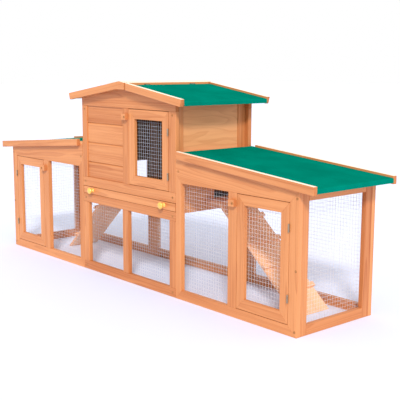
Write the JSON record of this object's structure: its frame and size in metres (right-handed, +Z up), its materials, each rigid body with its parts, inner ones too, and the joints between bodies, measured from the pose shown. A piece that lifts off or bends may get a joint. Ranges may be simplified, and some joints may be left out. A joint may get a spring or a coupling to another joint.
{
  "type": "rabbit hutch",
  "caption": "Two-storey wooden rabbit hutch: gabled cabin with a pull-out tray, mesh runs with lean-to felt roofs, doors and ramps on both sides.",
  "frame": {"origin": "middle of the footprint, on the ground", "axes": "+X to the right seen from the front, +Y towards the back, +Z up"},
  "size_m": [2.04, 0.464, 0.828],
  "materials": {
    "pine": "stained fir, satin varnish",
    "plywood": "stained plywood, satin varnish",
    "green_felt": "matte mineral roofing felt",
    "galvanised_mesh": "galvanised",
    "hinge_steel": "zinc plated",
    "screw_steel": "zinc plated",
    "knob_gold": "gold-yellow gloss lacquer",
    "tray_steel": "galvanised sheet"
  },
  "bodies": {
    "hutch": {"fixed_hinge_leaves": "hinge_steel", "gable_boards": "pine", "house_back_cladding": "pine", "house_back_frame": "pine", "house_back_mesh": "galvanised_mesh", "house_front_cladding": "pine", "house_front_lower_frame": "pine", "house_front_lower_mesh": "galvanised_mesh", "house_front_upper_frame": "pine", "house_left_side_panel": "plywood", "house_right_side_panel": "plywood", "house_side_stiles": "pine", "latch_screws": "screw_steel", "left_bargeboards": "pine", "left_ramp_board": "pine", "left_roof_board": "plywood", "left_roof_felt": "green_felt", "left_run_back_frame": "pine", "left_run_back_mesh": "galvanised_mesh", "left_run_end_frame": "pine", "left_run_end_mesh": "galvanised_mesh", "left_run_fascias": "pine", "left_run_front_frame": "pine", "left_run_front_mesh": "galvanised_mesh", "left_run_roof_board": "plywood", "left_run_roof_felt": "green_felt", "panel_screws": "screw_steel", "ramp_cleats": "pine", "ridge_beam": "pine", "right_ramp_board": "pine", "right_run_back_frame": "pine", "right_run_back_mesh": "galvanised_mesh", "right_run_end_frame": "pine", "right_run_end_mesh": "galvanised_mesh", "right_run_fascias": "pine", "right_run_front_frame": "pine", "right_run_front_mesh": "galvanised_mesh", "right_run_roof_board": "plywood", "right_run_roof_felt": "green_felt", "tray_runners": "pine"},
    "house_door": {"house_door_frame": "pine", "house_door_mesh": "galvanised_mesh", "house_door_hinge_leaves": "hinge_steel"},
    "left_run_door": {"left_door_frame": "pine", "left_door_mesh": "galvanised_mesh", "left_door_hinge_leaves": "hinge_steel"},
    "right_run_door": {"right_door_frame": "pine", "right_door_mesh": "galvanised_mesh", "right_door_hinge_leaves": "hinge_steel"},
    "house_turn_button": {"house_latch": "pine"},
    "left_turn_button": {"left_latch": "pine"},
    "right_turn_button": {"right_latch": "pine"},
    "tray_drawer": {"drawer_front": "pine", "drawer_tray": "tray_steel", "drawer_knobs": "knob_gold"},
    "roof_flap": {"right_roof_board": "plywood", "right_roof_felt": "green_felt", "right_bargeboards": "pine", "right_roof_hinge_leaves": "hinge_steel"}
  },
  "joints": [
    {"name": "house_door_hinge", "type": "hinge", "parent": "hutch", "child": "house_door", "pos_m": [0.2745, -0.2035, 0.555], "axis": [0, 0, 1], "range_deg": [0, 110]},
    {"name": "right_run_door_hinge", "type": "hinge", "parent": "hutch", "child": "right_run_door", "pos_m": [0.905, -0.2035, 0.247], "axis": [0, 0, 1], "range_deg": [0, 110]},
    {"name": "left_run_door_hinge", "type": "hinge", "parent": "hutch", "child": "left_run_door", "pos_m": [-0.905, -0.2035, 0.247], "axis": [0, 0, -1], "range_deg": [0, 110]},
    {"name": "house_turn_button_pivot", "type": "hinge", "parent": "hutch", "child": "house_turn_button", "pos_m": [0.011, -0.208, 0.686], "axis": [0, 1, 0], "range_deg": [0, 180]},
    {"name": "right_turn_button_pivot", "type": "hinge", "parent": "hutch", "child": "right_turn_button", "pos_m": [0.6465, -0.208, 0.417], "axis": [0, 1, 0], "range_deg": [0, 180]},
    {"name": "left_turn_button_pivot", "type": "hinge", "parent": "hutch", "child": "left_turn_button", "pos_m": [-0.6465, -0.208, 0.417], "axis": [0, -1, 0], "range_deg": [0, 180]},
    {"name": "tray_slide", "type": "slide", "parent": "hutch", "child": "tray_drawer", "axis": [0, -1, 0], "range_m": [0, 0.33]},
    {"name": "roof_flap_hinge", "type": "hinge", "parent": "hutch", "child": "roof_flap", "pos_m": [0.04, 0, 0.81568], "axis": [0, -1, 0], "range_deg": [0, 75]}
  ]
}
